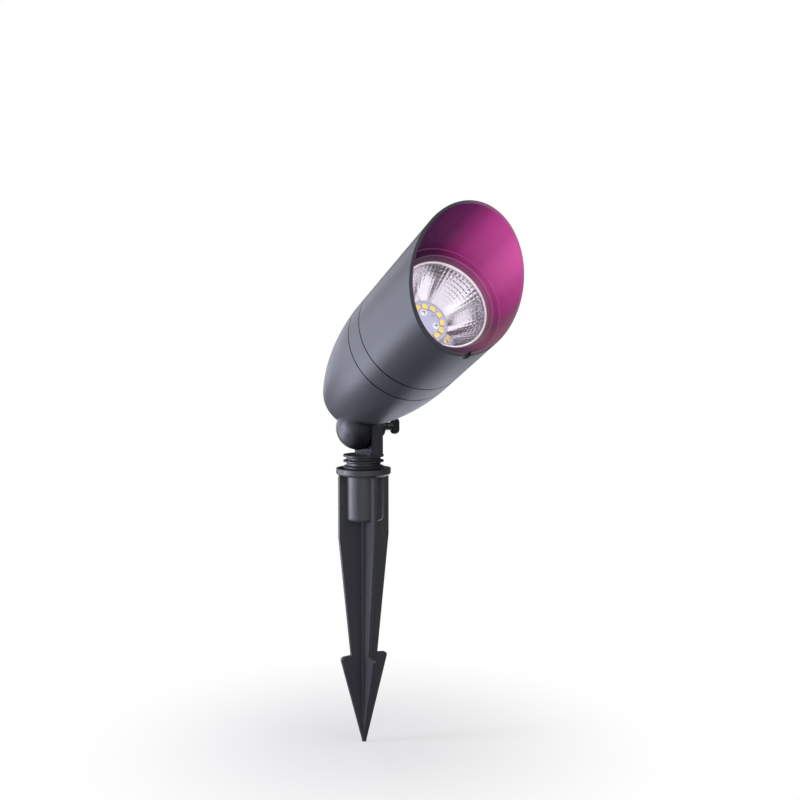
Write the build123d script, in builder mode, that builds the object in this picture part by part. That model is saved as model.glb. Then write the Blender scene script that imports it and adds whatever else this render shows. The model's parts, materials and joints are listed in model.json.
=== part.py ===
from build123d import *
import os
from math import cos, radians, sin, sqrt

# Garden spike spotlight, in millimetres.
# The origin is on the spike's axis at the underside of its collar, where the ground comes to.
# +Z is up, the lamp head points towards -Y, and the tilting hinge runs along X.

os.makedirs("parts", exist_ok=True)

# ------------------------------------------------------------------ placing of the head
head_elevation = 26.4  # degrees above the horizontal, as stored
hinge_height = 24.7
axis_offset = 18.7  # the head's axis above the hinge axis
seam_reach = 73.1  # the front seam ahead of the hinge, along the head's axis
overrun = 1.0  # how far a cutter runs past the face it opens

# ------------------------------------------------------------------ ground spike
collar_height = 3.6
collar_radius = 14.2
collar_chamfer = 1.0
recess_radius = 12.6
recess_depth = 0.8
socket_radius = 10.4
socket_depth = 23.6
socket_floor = 1.3
socket_round = 1.6
fin_reach = 14.15
fin_thickness = 1.9
fin_straight = 31.9  # length of the fins' parallel stretch
neck_depth = 94.6
neck_reach = 7.4
barb_drop = 0.5  # fall of the barb's upper edge
barb_reach = 13.5
barb_round = 1.5
tip_depth = 141.7
tip_half_width = 0.65
tip_round = 0.55
web_half_width = 2.7  # corner webs between the fins
web_depth = 132.0

# ------------------------------------------------------------------ stem bracket
spigot_radius = 8.0
spigot_clearance = 0.05
spigot_end_gap = 0.4
spigot_chamfer = 0.6
stem_seat_gap = 0.05  # running gap between the stem's shoulder and the collar
ring_radius = 10.54
ring_root_radius = 8.85
ring_centres = (4.4, 7.4, 10.2)  # heights of the three rings
ring_edge = 0.7  # width of each ring's crest
ring_flank = 0.55  # height of each sloping flank
top_ring_edge = 0.9
seal_groove_height = -6.0
seal_groove_width = 1.8
seal_cord_radius = 0.7
snap_ring_height = -17.3
snap_ring_thickness = 1.4
snap_ring_inner = 7.1
snap_ring_outer = 8.6
snap_ring_split = 2.2
snap_ring_gap = 0.3  # room round the ring in the spike's groove
lug_inner_face = 0.1  # X of the lug's face towards the half ball
lug_thickness = 6.6
lug_radius = 9.3
lug_foot = 10.0
foot_inner_face = -0.7  # X of the foot block's face, below the half ball
foot_top = 12.2
screw_radius = 2.4
screw_hole_radius = 2.6

# ------------------------------------------------------------------ knuckle
ball_radius = 11.5
ball_centre = -3.0  # X of the half ball's centre
ball_face = -1.0  # X of its flat face
tooth_count = 32
tooth_depth = 0.5
tooth_gap_width = 1.05
tooth_ring_inner = 6.0
lug_tooth_outer = 9.2
ball_tooth_outer = 11.2
pocket_radius = 11.4  # room round the serrated faces in the housing
pocket_half_height = 10.0  # room for the lug where it swings out of the pocket
pocket_width = 45.0
insert_radius = 3.6
insert_length = 7.2
insert_setback = 1.0
thread_clearance = 0.05

# ------------------------------------------------------------------ thumbscrew and washers
washer_hole_clearance = 0.3
flat_washer_radius = 5.0
flat_washer_thickness = 0.8
spring_washer_radius = 4.6
spring_washer_thickness = 1.4
spring_washer_split = 1.0
grip_seat_gap = 0.05
grip_flange_radius = 5.2
grip_flange_thickness = 1.4
grip_flare_length = 2.7
grip_neck_radius = 2.1
grip_neck_length = 3.4
tab_length = 5.0
tab_height = 8.3
tab_corner = 2.2
tab_thickness = 2.6
tab_edge = 0.7
screw_embedded = 2.2
screw_end_gap = 0.6

# ------------------------------------------------------------------ head shells
head_radius = 29.0
band_length = 13.0
seam_chamfer = 0.3
rear_length = 70.0
rear_waist_drop = 3.7  # fall of the housing's radius half-way along its curve
rear_end_radius = 15.0
rear_corner = 9.0
rear_wall = 2.8
cavity_lip_length = 9.0
cavity_length = 46.5
cavity_end_radius = 18.0
passage_radius = 5.0
hood_base_wall = 2.1  # wall just ahead of the glass
hood_wall = 1.5  # wall at the longest point of the hood
hood_back_wall = 2.7  # wall round the sleeve
hood_axis_reach = 54.6  # front seam to the rim's plane, along the axis
hood_cut_angle = 31.1
hood_rim_edge = 0.3
notch_width = 3.2
notch_depth = 3.2
notch_turn = 3.0  # degrees that the drain notch stands off the lowest point
sleeve_wall = 2.0
sleeve_reach = 30.6
sleeve_clearance = 0.3
spigot_fit = 0.1
spigot_reach = 8.0
spigot_wall = 2.7
shell_seal_cord = 0.7
seat_front = 11.0
seat_thickness = 4.0

# ------------------------------------------------------------------ optics and lamp board
shoulder_thickness = 0.8
shoulder_lap = 2.5  # how far the shoulder covers the glass
glass_clearance = 0.6  # radial room round the glass
glass_thickness = 2.0
glass_edge = 0.3
gasket_thickness = 0.4
bowl_floor_radius = 10.4
bowl_bulge = 1.0  # rise of the bowl's curve over a straight cone
bowl_wall = 0.9
bowl_lip_width = 0.6
bowl_floor_gap = 0.3
bowl_flange_width = 2.3
bowl_flange_clearance = 0.5
bowl_flange_thickness = 0.9
keeper_thickness = 0.8
keeper_clearance = 0.1
pad_thickness = 0.3
pad_radius = 12.5
board_radius = 13.0
board_thickness = 1.0
chip_count = 12
chip_pitch_radius = 7.9
chip_radial = 2.8
chip_across = 3.3
chip_height = 0.7
chip_start = 85.5
board_screw_pitch_radius = 4.9
board_screw_start = -25.0
board_screw_count = 3
board_screw_head_radius = 1.6
board_screw_head = 0.9
board_screw_radius = 0.8
board_screw_depth = 2.4
lead_angles = (35.0, 155.0)
lead_radius = 0.7
lead_clearance = 0.15

# ------------------------------------------------------------------ driver
driver_width = 30.0
driver_height = 22.0
driver_length = 38.0
driver_wall = 1.6
driver_corner = 2.5
lid_clearance = 0.6
lid_thickness = 1.5
lid_screw_gap = 0.3  # between the screw heads and the case
lid_screw_radius = 1.15
lid_screw_head_radius = 2.2
lid_screw_head = 1.6
lid_screw_depth = 2.6
driver_board_thickness = 1.6
driver_board_drop = 6.0
driver_board_gap = 0.4
transformer_size = (14.0, 12.0, 13.0)
capacitor_radius = 4.5
capacitor_length = 12.0
part_spacing = 2.0
terminal_size = (14.0, 10.0, 7.0)
terminal_hole_radius = 1.5
terminal_hole_spacing = 6.0

# ------------------------------------------------------------------ cable inlet
inlet_bore_radius = 6.0
inlet_thread_length = 10.0
inlet_thread_clearance = 0.05
inlet_recess_radius = 7.9
inlet_recess_depth = 2.5
inlet_washer_thickness = 0.8
inlet_flat = 13.0  # across the flats of the hexagon
inlet_flange_thickness = 2.5
inlet_neck_radius = 5.6
inlet_neck_length = 3.2
inlet_seal_bore = 3.2
inlet_seal_radius = 4.6
inlet_seal_length = 7.5
inlet_seal_clearance = 0.1
inlet_mouth_radius = 3.5
inlet_cap_radius = 6.6
inlet_cap_wall = 0.9
inlet_cap_edge = 0.8

# ------------------------------------------------------------------ derived planes and places
aim = Vector(0, -cos(radians(head_elevation)), sin(radians(head_elevation)))
lift = Vector(0, sin(radians(head_elevation)), cos(radians(head_elevation)))
hinge_centre = Vector(0, 0, hinge_height)
seam_centre = hinge_centre + aim * seam_reach + lift * axis_offset
head_axis = Axis(seam_centre, aim)
head_section = Plane(origin=seam_centre, x_dir=aim, z_dir=(-1, 0, 0))
hinge_section = Plane(origin=(0, 0, hinge_height), x_dir=(1, 0, 0), z_dir=(0, -1, 0))
hinge_axis = Axis(hinge_centre, (1, 0, 0))


def head_at(reach):
    """Plane across the head, facing forward, at a distance ahead of the front seam."""
    return Plane(origin=seam_centre + aim * reach, x_dir=(1, 0, 0), z_dir=aim)


def hinge_at(x):
    """Plane across the hinge axis, facing +X, centred on the axis."""
    return Plane(origin=(x, 0, hinge_height), x_dir=(0, 1, 0), z_dir=(1, 0, 0))


rear_seam = -band_length
rear_face = rear_seam - rear_length
seat_back = seat_front - seat_thickness
glass_back = sleeve_reach + gasket_thickness
glass_front = glass_back + glass_thickness
shoulder_front = glass_front + shoulder_thickness
pad_front = seat_front + pad_thickness
board_front = pad_front + board_thickness
lug_outer_face = lug_inner_face + lug_thickness
flat_washer_face = lug_outer_face + flat_washer_thickness
spring_washer_face = flat_washer_face + spring_washer_thickness
grip_seat = spring_washer_face + grip_seat_gap
rear_waist_radius = head_radius - rear_waist_drop
cavity_radius = head_radius - rear_wall
spigot_outer = cavity_radius - spigot_fit
spigot_inner = spigot_outer - spigot_wall
barrel_bore_radius = head_radius - hood_back_wall
sleeve_radius = barrel_bore_radius - sleeve_clearance
sleeve_inner = sleeve_radius - sleeve_wall
glass_radius = barrel_bore_radius - glass_clearance
shoulder_radius = glass_radius - shoulder_lap
bowl_flange_radius = sleeve_inner - bowl_flange_clearance
bowl_mouth_radius = bowl_flange_radius - bowl_flange_width
lid_screw_spacing = driver_width + 2 * (lid_screw_head_radius + lid_screw_gap)

# ------------------------------------------------------------------ ground spike
# Four fins in a cross, cut from one outline that is used on both planes.
fin_side = [
    (fin_reach, 0),
    (fin_reach, -fin_straight),
    (neck_reach, -neck_depth),
    (barb_reach, -neck_depth - barb_drop),
    (tip_half_width, -tip_depth),
]
fin_outline = fin_side + [(-x, z) for x, z in reversed(fin_side)]
stem_seat = collar_height - recess_depth

with BuildPart() as ground_spike:
    with BuildSketch(Plane.XY.offset(-socket_depth)):
        Circle(socket_radius)
    extrude(amount=socket_depth)
    fillet(ground_spike.edges().group_by(Axis.Z)[0], socket_round)
    with BuildSketch(Plane.XY):
        Circle(collar_radius)
    extrude(amount=collar_height)
    rim = ground_spike.edges().filter_by(GeomType.CIRCLE).sort_by(SortBy.RADIUS)[-2:]
    chamfer(rim.sort_by(Axis.Z)[0], collar_chamfer)
    for fin_plane in (Plane.XZ, Plane.YZ):
        with BuildSketch(fin_plane) as fin:
            Polygon(*fin_outline, align=None)
            barbs = fin.vertices().filter_by_position(
                Axis.Y, -neck_depth - 2 * barb_drop, -neck_depth - barb_drop / 2
            )
            fillet(barbs, barb_round)
            fillet(fin.vertices().group_by(Axis.Y)[0], tip_round)
        extrude(amount=fin_thickness / 2, both=True)
    with BuildSketch(Plane.XY.offset(-web_depth)):
        Rectangle(web_half_width * sqrt(2), web_half_width * sqrt(2), rotation=45)
    extrude(amount=web_depth - socket_depth / 2)
    with BuildSketch(Plane.XY.offset(stem_seat)):
        Circle(recess_radius)
    extrude(amount=recess_depth, mode=Mode.SUBTRACT)
    with BuildSketch(Plane.XY.offset(socket_floor - socket_depth)):
        Circle(spigot_radius + spigot_clearance)
    extrude(amount=socket_depth + collar_height, mode=Mode.SUBTRACT)
    groove_height = snap_ring_thickness + 2 * snap_ring_gap
    with BuildSketch(Plane.XY.offset(snap_ring_height - groove_height / 2)):
        Circle(snap_ring_outer + snap_ring_gap)
    extrude(amount=groove_height, mode=Mode.SUBTRACT)
ground_spike.part.label = "ground_spike"
export_step(ground_spike.part, "parts/ground_spike.step")

# ------------------------------------------------------------------ stem bracket
# The turned foot: a plain spigot below, three rings above, drawn as one half section.
spigot_end = socket_floor - socket_depth + spigot_end_gap
stem_shoulder = stem_seat + stem_seat_gap
stem_top = ring_centres[-1] + top_ring_edge / 2

foot_outline = [
    (0, spigot_end),
    (spigot_radius - spigot_chamfer, spigot_end),
    (spigot_radius, spigot_end + spigot_chamfer),
    (spigot_radius, stem_shoulder),
    (ring_root_radius, stem_shoulder),
]
for ring_centre in ring_centres:
    crest = top_ring_edge if ring_centre == ring_centres[-1] else ring_edge
    foot_outline.append((ring_root_radius, ring_centre - crest / 2 - ring_flank))
    foot_outline.append((ring_radius, ring_centre - crest / 2))
    foot_outline.append((ring_radius, ring_centre + crest / 2))
    if ring_centre != ring_centres[-1]:
        foot_outline.append((ring_root_radius, ring_centre + crest / 2 + ring_flank))
foot_outline.append((0, stem_top))

# One V-shaped gap between two teeth, running outwards along X with the crests in the XY plane.
with BuildPart() as tooth_gap:
    with BuildSketch(Plane.YZ.offset(tooth_ring_inner - overrun)):
        Polygon(
            (-tooth_gap_width, tooth_depth),
            (tooth_gap_width, tooth_depth),
            (0, -tooth_depth),
            align=None,
        )
    extrude(amount=(ball_tooth_outer + pocket_radius) / 2 - tooth_ring_inner + overrun)

lug_teeth_plane = Plane(
    origin=(lug_inner_face - tooth_depth, 0, hinge_height), x_dir=(0, 1, 0), z_dir=(-1, 0, 0)
)

with BuildPart() as stem_bracket:
    with BuildSketch(Plane.XZ):
        Polygon(*foot_outline, align=None)
    revolve(axis=Axis.Z)
    with BuildSketch(Plane.XY.offset(seal_groove_height - seal_groove_width / 2)):
        Circle(spigot_radius + overrun)
        Circle(spigot_radius - 2 * seal_cord_radius, mode=Mode.SUBTRACT)
    extrude(amount=seal_groove_width, mode=Mode.SUBTRACT)
    with BuildSketch(Plane.XY.offset(snap_ring_height - snap_ring_thickness / 2)):
        Circle(spigot_radius + overrun)
        Circle(snap_ring_inner, mode=Mode.SUBTRACT)
    extrude(amount=snap_ring_thickness, mode=Mode.SUBTRACT)
    with BuildSketch(hinge_at(lug_inner_face)):
        Circle(lug_radius)
        Rectangle(2 * lug_radius, hinge_height - lug_foot, align=(Align.CENTER, Align.MAX))
    extrude(amount=lug_thickness)
    with BuildSketch(hinge_at(foot_inner_face)):
        with Locations((0, foot_top - hinge_height)):
            Rectangle(2 * lug_radius, foot_top - lug_foot, align=(Align.CENTER, Align.MAX))
    extrude(amount=lug_thickness)
    with BuildSketch(lug_teeth_plane):
        Circle(lug_tooth_outer)
        Circle(tooth_ring_inner, mode=Mode.SUBTRACT)
    extrude(amount=-tooth_depth)
    with Locations(lug_teeth_plane.location):
        with PolarLocations(0, tooth_count):
            add(tooth_gap.part, mode=Mode.SUBTRACT)
    with BuildSketch(hinge_at(lug_outer_face)):
        Circle(screw_hole_radius)
    extrude(amount=-lug_thickness - overrun, mode=Mode.SUBTRACT)
stem_bracket.part.label = "stem_bracket"
export_step(stem_bracket.part, "parts/stem_bracket.step")

# ------------------------------------------------------------------ spigot seal
with BuildPart() as spigot_o_ring:
    with BuildSketch(Plane.XZ):
        with Locations((spigot_radius - seal_cord_radius, seal_groove_height)):
            Circle(seal_cord_radius)
    revolve(axis=Axis.Z)
spigot_o_ring.part.label = "spigot_o_ring"
export_step(spigot_o_ring.part, "parts/spigot_o_ring.step")

# ------------------------------------------------------------------ spigot snap ring
with BuildPart() as spigot_snap_ring:
    with BuildSketch(Plane.XY.offset(snap_ring_height - snap_ring_thickness / 2)):
        Circle(snap_ring_outer)
        Circle(snap_ring_inner, mode=Mode.SUBTRACT)
        Rectangle(
            2 * snap_ring_outer,
            snap_ring_split,
            align=(Align.MIN, Align.CENTER),
            mode=Mode.SUBTRACT,
        )
    extrude(amount=snap_ring_thickness)
spigot_snap_ring.part.label = "spigot_snap_ring"
export_step(spigot_snap_ring.part, "parts/spigot_snap_ring.step")

# ------------------------------------------------------------------ washers on the lug
with BuildPart() as flat_washer:
    with BuildSketch(hinge_at(lug_outer_face)):
        Circle(flat_washer_radius)
        Circle(screw_radius + washer_hole_clearance, mode=Mode.SUBTRACT)
    extrude(amount=flat_washer_thickness)
flat_washer.part.label = "flat_washer"
export_step(flat_washer.part, "parts/flat_washer.step")

with BuildPart() as spring_washer:
    with BuildSketch(hinge_at(flat_washer_face)):
        Circle(spring_washer_radius)
        Circle(screw_radius + washer_hole_clearance, mode=Mode.SUBTRACT)
        Rectangle(
            2 * spring_washer_radius,
            spring_washer_split,
            align=(Align.MIN, Align.CENTER),
            mode=Mode.SUBTRACT,
        )
    extrude(amount=spring_washer_thickness)
spring_washer.part.label = "spring_washer"
export_step(spring_washer.part, "parts/spring_washer.step")

# ------------------------------------------------------------------ thumbscrew grip
# A flange, a hollow-sided flare and a slim neck are turned, and a flat rounded tab ends them.
flare_start = grip_seat + grip_flange_thickness
flare_end = flare_start + grip_flare_length
neck_end = flare_end + grip_neck_length
flare_drop = grip_flange_radius - grip_neck_radius

with BuildPart() as thumbscrew_grip:
    with BuildSketch(hinge_section):
        with Locations((neck_end + tab_length / 2 - tab_edge, 0)):
            RectangleRounded(tab_length, tab_height, tab_corner)
    extrude(amount=tab_thickness / 2, both=True)
    tab_rims = thumbscrew_grip.faces().filter_by(Axis.Y).edges()
    chamfer(tab_rims, tab_edge)
    with BuildSketch(hinge_section):
        with BuildLine():
            Polyline(
                (flare_start, grip_flange_radius),
                (grip_seat, grip_flange_radius),
                (grip_seat, 0),
                (neck_end, 0),
                (neck_end, grip_neck_radius),
                (flare_end, grip_neck_radius),
            )
            ThreePointArc(
                (flare_end, grip_neck_radius),
                (flare_end - 0.7 * grip_flare_length, grip_flange_radius - 0.7 * flare_drop),
                (flare_start, grip_flange_radius),
            )
        make_face()
    revolve(axis=hinge_axis)
    with BuildSketch(hinge_at(grip_seat)):
        Circle(screw_radius)
    extrude(amount=screw_embedded, mode=Mode.SUBTRACT)
thumbscrew_grip.part.label = "thumbscrew_grip"
export_step(thumbscrew_grip.part, "parts/thumbscrew_grip.step")

# ------------------------------------------------------------------ thumbscrew shank
insert_mouth = ball_face - insert_setback
insert_end = insert_mouth - insert_length

with BuildPart() as thumbscrew_shank:
    with BuildSketch(hinge_at(insert_end + screw_end_gap)):
        Circle(screw_radius)
    extrude(amount=grip_seat + screw_embedded - insert_end - screw_end_gap)
    chamfer(thumbscrew_shank.edges().group_by(Axis.X)[0], screw_end_gap / 2)
thumbscrew_shank.part.label = "thumbscrew_shank"
export_step(thumbscrew_shank.part, "parts/thumbscrew_shank.step")

# ------------------------------------------------------------------ rear housing
# The bullet is turned from one long arc. The half ball stands on its underside, and a
# pocket on the +X side, open to the rear, lets the lug swing from level to straight up.
cavity_end = rear_seam - cavity_length
ball_teeth_plane = hinge_at(ball_face + tooth_depth)
pocket_plane = Plane(origin=(ball_face, 0, hinge_height), x_dir=aim, z_dir=(-1, 0, 0))
pocket_tail = rear_length + band_length

with BuildPart() as rear_housing:
    with Locations((ball_centre, 0, hinge_height)):
        Sphere(ball_radius)
    split(bisect_by=Plane.YZ.offset(ball_face), keep=Keep.BOTTOM)
    with BuildSketch(head_section) as bullet:
        with BuildLine():
            ThreePointArc(
                (rear_seam, head_radius),
                (rear_seam - rear_length / 2, rear_waist_radius),
                (rear_face, rear_end_radius),
            )
            Polyline(
                (rear_face, rear_end_radius),
                (rear_face, 0),
                (rear_seam, 0),
                (rear_seam, head_radius),
            )
        make_face()
        fillet(bullet.vertices().group_by(Axis.X)[0].sort_by(Axis.Y)[-1], rear_corner)
        chamfer(bullet.vertices().sort_by(Axis.Y)[-1], seam_chamfer)
    revolve(axis=head_axis)
    with BuildSketch(head_section):
        Polygon(
            (rear_seam, 0),
            (rear_seam, cavity_radius),
            (rear_seam - cavity_lip_length, cavity_radius),
            (rear_seam - rear_length / 2, rear_waist_radius - rear_wall),
            (cavity_end, cavity_end_radius),
            (cavity_end, 0),
            align=None,
        )
    revolve(axis=head_axis, mode=Mode.SUBTRACT)
    with BuildSketch(head_at(rear_face)):
        Circle(passage_radius)
    extrude(amount=cavity_end - rear_face, mode=Mode.SUBTRACT)
    with BuildSketch(head_at(rear_face)):
        Circle(inlet_bore_radius)
    extrude(amount=inlet_recess_depth + inlet_thread_length, mode=Mode.SUBTRACT)
    with BuildSketch(head_at(rear_face)):
        Circle(inlet_recess_radius)
    extrude(amount=inlet_recess_depth, mode=Mode.SUBTRACT)
    with BuildSketch(pocket_plane):
        Circle(pocket_radius)
        Rectangle(pocket_tail, 2 * pocket_half_height, align=(Align.MAX, Align.CENTER))
    extrude(amount=-pocket_width, mode=Mode.SUBTRACT)
    with BuildSketch(ball_teeth_plane):
        Circle(ball_tooth_outer)
        Circle(tooth_ring_inner, mode=Mode.SUBTRACT)
    extrude(amount=-tooth_depth)
    with Locations(ball_teeth_plane.location):
        with PolarLocations(0, tooth_count):
            add(tooth_gap.part, mode=Mode.SUBTRACT)
    with BuildSketch(hinge_at(insert_end)):
        Circle(insert_radius)
    extrude(amount=ball_face - insert_end, mode=Mode.SUBTRACT)
rear_housing.part.label = "rear_housing"
export_step(rear_housing.part, "parts/rear_housing.step")

# ------------------------------------------------------------------ knuckle insert
with BuildPart() as knuckle_insert:
    with BuildSketch(hinge_at(insert_end)):
        Circle(insert_radius)
        Circle(screw_radius + thread_clearance, mode=Mode.SUBTRACT)
    extrude(amount=insert_length)
knuckle_insert.part.label = "knuckle_insert"
export_step(knuckle_insert.part, "parts/knuckle_insert.step")

# ------------------------------------------------------------------ middle body
# One turned piece: the band between the seams, a spigot for the rear housing, the wall that
# carries the lamp board, and the sleeve that holds the reflector and the glass.
spigot_tail = rear_seam - spigot_reach
rear_seal_place = rear_seam - spigot_reach / 2
front_seal_place = 3.0
seal_room = 2.4 * shell_seal_cord

with BuildPart() as middle_body:
    with BuildSketch(head_section) as body_profile:
        Polygon(
            (spigot_tail, spigot_inner),
            (spigot_tail, spigot_outer),
            (rear_seam, spigot_outer),
            (rear_seam, head_radius),
            (0, head_radius),
            (0, sleeve_radius),
            (sleeve_reach, sleeve_radius),
            (sleeve_reach, sleeve_inner),
            (seat_front, sleeve_inner),
            (seat_front, 0),
            (seat_back, 0),
            (seat_back, spigot_inner),
            align=None,
        )
        chamfer(body_profile.vertices().group_by(Axis.Y)[-1], seam_chamfer)
    revolve(axis=head_axis)
    with BuildSketch(head_section):
        with Locations((rear_seal_place, spigot_outer)):
            Rectangle(seal_room, 4 * shell_seal_cord)
        with Locations((front_seal_place, sleeve_radius)):
            Rectangle(seal_room, 4 * shell_seal_cord)
    revolve(axis=head_axis, mode=Mode.SUBTRACT)
    with BuildSketch(head_at(seat_back)):
        for angle in lead_angles:
            with PolarLocations(board_screw_pitch_radius, 1, start_angle=angle):
                Circle(lead_radius + lead_clearance)
    extrude(amount=seat_thickness, mode=Mode.SUBTRACT)
    with BuildSketch(head_at(seat_front)):
        with PolarLocations(board_screw_pitch_radius, board_screw_count, start_angle=board_screw_start):
            Circle(board_screw_radius)
    extrude(amount=-board_screw_depth, mode=Mode.SUBTRACT)
    with BuildSketch(head_at(seat_back)):
        with GridLocations(lid_screw_spacing, 0, 2, 1):
            Circle(lid_screw_radius)
    extrude(amount=lid_screw_depth, mode=Mode.SUBTRACT)
middle_body.part.label = "middle_body"
export_step(middle_body.part, "parts/middle_body.step")

# ------------------------------------------------------------------ seals under the two seams
with BuildPart() as rear_seal:
    with BuildSketch(head_section):
        with Locations((rear_seal_place, spigot_outer - shell_seal_cord)):
            Circle(shell_seal_cord)
    revolve(axis=head_axis)
rear_seal.part.label = "rear_seal"
export_step(rear_seal.part, "parts/rear_seal.step")

with BuildPart() as front_seal:
    with BuildSketch(head_section):
        with Locations((front_seal_place, sleeve_radius - shell_seal_cord)):
            Circle(shell_seal_cord)
    revolve(axis=head_axis)
front_seal.part.label = "front_seal"
export_step(front_seal.part, "parts/front_seal.step")

# ------------------------------------------------------------------ hood barrel
# A turned barrel with an inner shoulder for the glass and a drafted bore, cut off at a slant
# to leave a glare hood that is longest on top. A round-ended drain notch is cut through the
# wall in the lowest part of the rim.
hood_slope = sin(radians(hood_cut_angle)) / cos(radians(hood_cut_angle))
hood_stock = hood_axis_reach + 2 * head_radius * hood_slope
hood_tip = hood_axis_reach + head_radius * hood_slope
hood_draft = (hood_base_wall - hood_wall) / (hood_tip - shoulder_front)
hood_base_radius = head_radius - hood_base_wall
hood_stock_radius = hood_base_radius + hood_draft * (hood_stock - shoulder_front)
cut_normal = aim * cos(radians(hood_cut_angle)) - lift * sin(radians(hood_cut_angle))
cut_plane = Plane(origin=seam_centre + aim * hood_axis_reach, x_dir=(1, 0, 0), z_dir=cut_normal)
notch_angle = radians(notch_turn - 90)
notch_out = Vector(1, 0, 0) * cos(notch_angle) + lift * sin(notch_angle)
notch_start = hood_base_radius - overrun
notch_plane = Plane(origin=seam_centre + notch_out * notch_start, x_dir=aim, z_dir=notch_out)
notch_rim = hood_axis_reach + head_radius * hood_slope * sin(notch_angle)
notch_end = notch_rim - notch_depth + notch_width / 2

with BuildPart() as hood_barrel:
    with BuildSketch(head_section) as barrel_profile:
        Polygon(
            (0, barrel_bore_radius),
            (0, head_radius),
            (hood_stock, head_radius),
            (hood_stock, hood_stock_radius),
            (shoulder_front, hood_base_radius),
            (shoulder_front, shoulder_radius),
            (glass_front, shoulder_radius),
            (glass_front, barrel_bore_radius),
            align=None,
        )
        chamfer(
            barrel_profile.vertices().group_by(Axis.Y)[-1].sort_by(Axis.X)[0], seam_chamfer
        )
    revolve(axis=head_axis)
    split(bisect_by=cut_plane, keep=Keep.BOTTOM)
    rim_edges = hood_barrel.faces().filter_by(cut_plane).edges()
    chamfer(rim_edges, hood_rim_edge)
    with BuildSketch(notch_plane):
        with Locations((notch_end, 0)):
            Circle(notch_width / 2)
            Rectangle(hood_stock, notch_width, align=(Align.MIN, Align.CENTER))
    extrude(amount=hood_base_wall + 2 * overrun, mode=Mode.SUBTRACT)
hood_barrel.part.label = "hood_barrel"
export_step(hood_barrel.part, "parts/hood_barrel.step")

# ------------------------------------------------------------------ glass and gasket
with BuildPart() as front_glass:
    with BuildSketch(head_at(glass_back)):
        Circle(glass_radius)
    extrude(amount=glass_thickness)
    chamfer(front_glass.edges(), glass_edge)
front_glass.part.label = "front_glass"
export_step(front_glass.part, "parts/front_glass.step")

with BuildPart() as glass_gasket:
    with BuildSketch(head_at(sleeve_reach)):
        Circle(glass_radius)
        Circle(sleeve_inner, mode=Mode.SUBTRACT)
    extrude(amount=gasket_thickness)
glass_gasket.part.label = "glass_gasket"
export_step(glass_gasket.part, "parts/glass_gasket.step")

# ------------------------------------------------------------------ reflector and its keeper
bowl_floor = board_front + bowl_floor_gap
bowl_mouth = glass_back - keeper_clearance
bowl_middle = (bowl_floor + bowl_mouth) / 2
bowl_waist_radius = (bowl_floor_radius + bowl_mouth_radius) / 2 + bowl_bulge
flange_front = bowl_mouth - keeper_thickness
flange_back = flange_front - bowl_flange_thickness
lip_radius = bowl_mouth_radius + bowl_lip_width

with BuildPart() as reflector:
    with BuildSketch(head_section):
        with BuildLine():
            ThreePointArc(
                (bowl_floor, bowl_floor_radius),
                (bowl_middle, bowl_waist_radius),
                (bowl_mouth, bowl_mouth_radius),
            )
            Polyline(
                (bowl_mouth, bowl_mouth_radius),
                (bowl_mouth, lip_radius),
                (flange_front, lip_radius),
                (flange_front, bowl_flange_radius),
                (flange_back, bowl_flange_radius),
                (flange_back, lip_radius),
            )
            ThreePointArc(
                (flange_back, lip_radius),
                (bowl_middle, bowl_waist_radius + bowl_wall),
                (bowl_floor, bowl_floor_radius + bowl_wall),
            )
            Line((bowl_floor, bowl_floor_radius + bowl_wall), (bowl_floor, bowl_floor_radius))
        make_face()
    revolve(axis=head_axis)
reflector.part.label = "reflector"
export_step(reflector.part, "parts/reflector.step")

with BuildPart() as reflector_ring:
    with BuildSketch(head_at(flange_front)):
        Circle(sleeve_inner - keeper_clearance)
        Circle(lip_radius + keeper_clearance, mode=Mode.SUBTRACT)
    extrude(amount=keeper_thickness)
reflector_ring.part.label = "reflector_ring"
export_step(reflector_ring.part, "parts/reflector_ring.step")

# ------------------------------------------------------------------ thermal pad, board and chips
with BuildPart() as thermal_pad:
    with BuildSketch(head_at(seat_front)):
        Circle(pad_radius)
        with PolarLocations(board_screw_pitch_radius, board_screw_count, start_angle=board_screw_start):
            Circle(board_screw_radius, mode=Mode.SUBTRACT)
        for angle in lead_angles:
            with PolarLocations(board_screw_pitch_radius, 1, start_angle=angle):
                Circle(lead_radius + lead_clearance, mode=Mode.SUBTRACT)
    extrude(amount=pad_thickness)
thermal_pad.part.label = "thermal_pad"
export_step(thermal_pad.part, "parts/thermal_pad.step")

with BuildPart() as led_board:
    with BuildSketch(head_at(pad_front)):
        Circle(board_radius)
        with PolarLocations(board_screw_pitch_radius, board_screw_count, start_angle=board_screw_start):
            Circle(board_screw_radius, mode=Mode.SUBTRACT)
        for angle in lead_angles:
            with PolarLocations(board_screw_pitch_radius, 1, start_angle=angle):
                Circle(lead_radius + lead_clearance, mode=Mode.SUBTRACT)
    extrude(amount=board_thickness)
led_board.part.label = "led_board"
export_step(led_board.part, "parts/led_board.step")

with BuildPart() as led_chips:
    with BuildSketch(head_at(board_front)):
        with PolarLocations(chip_pitch_radius, chip_count, start_angle=chip_start):
            Rectangle(chip_radial, chip_across)
    extrude(amount=chip_height)
led_chips.part.label = "led_chips"
export_step(led_chips.part, "parts/led_chips.step")

with BuildPart() as board_screws:
    with BuildSketch(head_at(seat_front - board_screw_depth)):
        with PolarLocations(board_screw_pitch_radius, board_screw_count, start_angle=board_screw_start):
            Circle(board_screw_radius)
    extrude(amount=board_screw_depth + pad_thickness + board_thickness)
    with BuildSketch(head_at(board_front)):
        with PolarLocations(board_screw_pitch_radius, board_screw_count, start_angle=board_screw_start):
            Circle(board_screw_head_radius)
    extrude(amount=board_screw_head)
board_screws.part.label = "board_screws"
export_step(board_screws.part, "parts/board_screws.step")

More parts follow.
